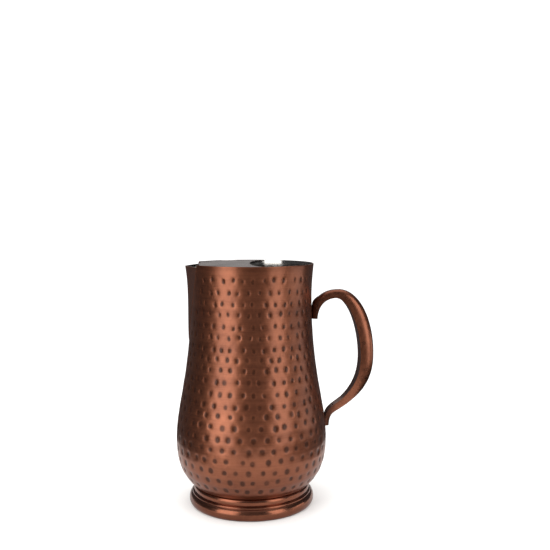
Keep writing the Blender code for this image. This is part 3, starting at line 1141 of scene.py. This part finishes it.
# Name, degrees round from the camera, distance, height, width, length and watts
SOFT_BOXES = (
    ("left_box", -43, 1.0, 0.35, 0.66, 1.1, 6.5),
    ("right_box", 49, 1.1, 0.35, 0.56, 1.0, 3.9),
    ("low_right_box", 90, 0.6, 0.07, 0.36, 0.12, 0.19),
    ("front_card", 4, 1.5, 0.40, 0.90, 1.0, 0.30),
    ("far_left_card", -136, 1.1, 0.30, 0.50, 0.6, 0.02),
    ("back_card", 180, 1.5, 0.62, 0.90, 0.5, 0.80),
)
TOP_BOX = (Vector((AXIS_X, 0.25, 1.4)), 1.7, 1.7, 5.0)
LAMP_TINT = (1.0, 0.98, 0.96)
AIR_LIGHT = 1.3  # strength of the white air on the table and in the shade
MIRRORED_AIR = (0.065, 0.065, 0.068)  # the same air as polished metal mirrors it
CEILING = {"From_Min": 0.6, "From_Max": 0.9, "To_Min": 1.0, "To_Max": 8.0}  # steepness, gain
TABLE_SIZE, TABLE_PLACE = (1.2, 1.2), Vector((AXIS_X, 0, 0))
MIRRORED_SIZE, MIRRORED_PLACE = (0.34, 0.52), Vector((AXIS_X, -0.10, 0.0001))


class PITCHER_OT_stage(bpy.types.Operator):
    """Lay the floor, hang the soft boxes and place the camera"""

    bl_idname = "pitcher.stage"
    bl_label = "Stage"

    azimuth: angle("Azimuth", "Turn of the camera round the body", math.radians(-4))
    distance: length("Distance", "Camera to the body axis", 0.6632)
    height: length("Height", "Camera above the table", 0.2498)
    offset: length("Offset", "Body axis left of the view's middle", 0.0208)
    pitch: angle("Pitch", "Downward tilt of the camera", 0.0757)

    def execute(self, context):
        colours = context.scene.pitcher_colours
        self.floor(colours)
        self.camera(context)
        self.lights(context)
        return {"FINISHED"}

    def direction(self, turn):
        """A level direction, counted from the camera's side of the body."""
        angle = self.azimuth + turn
        return Vector((math.sin(angle), -math.cos(angle), 0))

    def floor(self, colours):
        """A white table, and the dimmer sheet that the metal mirrors in its place."""
        table = self.sheet("studio_floor", colours.floor, TABLE_SIZE, TABLE_PLACE)
        table.visible_glossy = False
        mirrored = self.sheet("mirrored_floor", colours.mirrored, MIRRORED_SIZE, MIRRORED_PLACE)
        mirrored.visible_camera = False
        mirrored.visible_diffuse = False
        mirrored.visible_shadow = False

    def sheet(self, name, tint, size, place):
        """A flat painted sheet, faintly clouded and grained."""
        bpy.ops.mesh.primitive_plane_add(size=1, location=place)
        sheet = bpy.context.object
        sheet.name = sheet.data.name = name
        sheet.scale = (*size, 1)
        finish = Finish(f"{name}_paint")
        cloud = finish.remap(finish.noise(2.0, 2), 0.3, 0.7)
        base = finish.mix(cloud, rgba(tint), rgba(tuple(0.985 * c for c in tint)))
        rough = finish.remap(cloud, 0, 1, 0.75, 0.8)
        grain = finish.bump(finish.noise(900, 2), 0.00002)
        sheet.data.materials.append(finish.close(base, rough, grain, metallic=0.0))
        return sheet

    def camera(self, context):
        """The camera, a little above the rim and to the spout's side."""
        toward = self.direction(0)
        right = Vector((-toward.y, toward.x, 0))
        camera = bpy.data.objects.new("camera", bpy.data.cameras.new("camera"))
        camera.data.lens = 50
        camera.data.sensor_width = 36
        camera.location = Vector((AXIS_X, 0, self.height))
        camera.location += toward * self.distance + right * self.offset
        camera.rotation_euler = (math.pi / 2 - self.pitch, 0, self.azimuth)
        context.collection.objects.link(camera)
        context.scene.camera = camera

    def lights(self, context):
        """The soft boxes, and an air that metal mirrors darker than it lights the table."""
        for name, turn, far, high, *lamp in SOFT_BOXES:
            place = self.direction(math.radians(turn)) * far + Vector((AXIS_X, 0, high))
            self.soft_box(context, name, place, *lamp)
        self.soft_box(context, "top_box", *TOP_BOX)
        world = bpy.data.worlds.new("studio_air")
        world.use_nodes = True
        nodes = world.node_tree.nodes
        nodes.clear()
        kinds = ("LightPath", "Background", "Background", "MixShader", "OutputWorld")
        path, dim, pale, mix, out = (nodes.new(f"ShaderNode{kind}") for kind in kinds)
        kinds = ("TexCoord", "SeparateXYZ", "MapRange")
        way, split, ceiling = (nodes.new(f"ShaderNode{kind}") for kind in kinds)
        fill(split, Vector=way.outputs["Generated"])
        fill(ceiling, Value=split.outputs["Z"], **CEILING)
        fill(dim, Color=rgba(MIRRORED_AIR), Strength=ceiling.outputs["Result"])
        fill(pale, Color=(1, 1, 1, 1), Strength=AIR_LIGHT)
        fill(mix, Fac=path.outputs["Is Glossy Ray"])
        feed(pale.outputs["Background"], mix.inputs[1])
        feed(dim.outputs["Background"], mix.inputs[2])
        fill(out, Surface=mix.outputs["Shader"])
        context.scene.world = world
        context.scene.view_settings.view_transform = "Standard"

    def soft_box(self, context, name, place, wide, tall, power):
        """A rectangular lamp that faces the pitcher and doesn't show itself."""
        lamp = bpy.data.lights.new(name, "AREA")
        lamp.shape = "RECTANGLE"
        lamp.size, lamp.size_y = wide, tall
        lamp.energy = power
        lamp.color = LAMP_TINT
        box = bpy.data.objects.new(name, lamp)
        box.location = place
        aim = Vector((AXIS_X, 0, HEIGHT / 2)) - place
        box.rotation_euler = aim.to_track_quat("-Z", "Y").to_euler()
        box.visible_camera = False
        context.collection.objects.link(box)


class PITCHER_PT_panel(bpy.types.Panel):
    """Sizes, colours and pieces of the pitcher"""

    bl_idname = "PITCHER_PT_panel"
    bl_label = "Pitcher"
    bl_space_type = "VIEW_3D"
    bl_region_type = "UI"
    bl_category = "Pitcher"

    def draw(self, context):
        layout = self.layout
        for group in GROUPS:
            box = layout.box()
            box.label(text=group.replace("pitcher_", "").title())
            values = getattr(context.scene, group)
            for name in values.__annotations__:
                box.prop(values, name)
        for operator in OPERATORS:
            layout.operator(operator.bl_idname)


GROUPS = {
    "pitcher_body": PitcherBodySizes,
    "pitcher_spout": PitcherSpoutSizes,
    "pitcher_guard": PitcherGuardSizes,
    "pitcher_foot": PitcherFootSizes,
    "pitcher_handle": PitcherHandleSizes,
    "pitcher_colours": PitcherColours,
}
OPERATORS = (
    PITCHER_OT_stage,
    PITCHER_OT_body,
    PITCHER_OT_spout,
    PITCHER_OT_ice_guard,
    PITCHER_OT_foot_ring,
    PITCHER_OT_handle,
)
CLASSES = (*GROUPS.values(), *OPERATORS, PITCHER_PT_panel)


def register():
    for cls in CLASSES:
        bpy.utils.register_class(cls)
    for name, group in GROUPS.items():
        setattr(bpy.types.Scene, name, bpy.props.PointerProperty(type=group))


def unregister():
    for name in GROUPS:
        delattr(bpy.types.Scene, name)
    for cls in reversed(CLASSES):
        bpy.utils.unregister_class(cls)


def main():
    register()
    bpy.ops.pitcher.stage()
    bpy.ops.pitcher.body()
    bpy.ops.pitcher.spout()
    bpy.ops.pitcher.ice_guard()
    bpy.ops.pitcher.foot_ring()
    bpy.ops.pitcher.handle()


if __name__ == "__main__":
    main()
